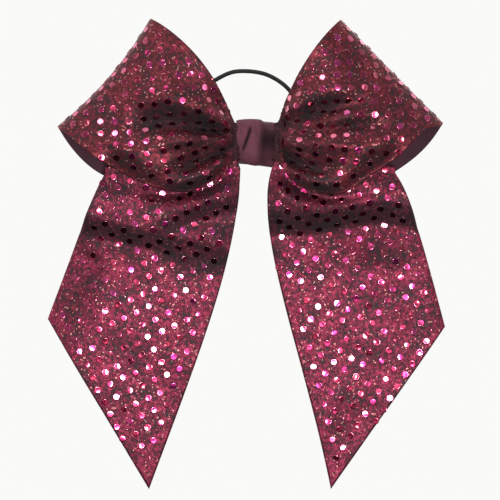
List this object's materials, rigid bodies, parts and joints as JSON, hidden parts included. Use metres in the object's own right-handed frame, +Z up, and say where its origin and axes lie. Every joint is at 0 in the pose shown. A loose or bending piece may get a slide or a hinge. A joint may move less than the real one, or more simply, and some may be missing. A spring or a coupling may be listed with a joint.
{
  "type": "cheer hair bow",
  "caption": "Large cheer hair bow of sequined ribbon with loops and slanted tails, a plain wrapped knot and an elastic ring that holds it on a ponytail.",
  "frame": {"origin": "centre of the hair-side face of the felt pad behind the knot, which is what sits against the ponytail", "axes": "+Z up as worn, the front of the bow faces -Y and the hair is on the +Y side, +X to the right of someone looking at the front"},
  "size_m": [0.204, 0.0456, 0.2409],
  "materials": {
    "sequin_fabric": "metallic knit with bonded round sequins",
    "backing_ribbon": "matte ribbed woven ribbon",
    "band_ribbon": "matte ribbed woven ribbon",
    "felt": "matte felt",
    "cable_tie": "satin nylon",
    "elastic": "braided cover over rubber",
    "crimp_metal": "bright pinched tube"
  },
  "bodies": {
    "knot": {"knot_band": "band_ribbon", "band_lap": "band_ribbon", "back_pad": "felt", "gathered_centre": "sequin_fabric", "cinch_strap": "cable_tie", "cinch_head": "cable_tie"},
    "loop_left": {"loop_left_backing": "backing_ribbon", "loop_left_fabric": "sequin_fabric"},
    "loop_right": {"loop_right_backing": "backing_ribbon", "loop_right_fabric": "sequin_fabric"},
    "tail_left": {"tail_left_backing": "backing_ribbon", "tail_left_fabric": "sequin_fabric"},
    "tail_right": {"tail_right_backing": "backing_ribbon", "tail_right_fabric": "sequin_fabric"},
    "hair_tie": {"elastic_ring": "elastic", "ring_crimp": "crimp_metal"}
  },
  "joints": [
    {"name": "loop_left_flex", "type": "hinge", "parent": "knot", "child": "loop_left", "pos_m": [-0.0105, -0.0133, 0], "axis": [0, 0, 1], "range_deg": [-8, 8], "stiffness_Nm_per_rad": 0.02},
    {"name": "loop_right_flex", "type": "hinge", "parent": "knot", "child": "loop_right", "pos_m": [0.0105, -0.0133, 0], "axis": [0, 0, -1], "range_deg": [-8, 8], "stiffness_Nm_per_rad": 0.02},
    {"name": "tail_left_flap", "type": "hinge", "parent": "knot", "child": "tail_left", "pos_m": [-0.03, -0.0133, -0.014], "axis": [-1, 0, 0], "range_deg": [-25, 20], "stiffness_Nm_per_rad": 0.02},
    {"name": "tail_right_flap", "type": "hinge", "parent": "knot", "child": "tail_right", "pos_m": [0.03, -0.0133, -0.014], "axis": [-1, 0, 0], "range_deg": [-25, 20], "stiffness_Nm_per_rad": 0.02},
    {"name": "tie_swing", "type": "hinge", "parent": "knot", "child": "hair_tie", "pos_m": [0, -0.0056, 0.004], "axis": [-1, 0, 0], "range_deg": [-3, 130], "stiffness_Nm_per_rad": 0.002}
  ]
}
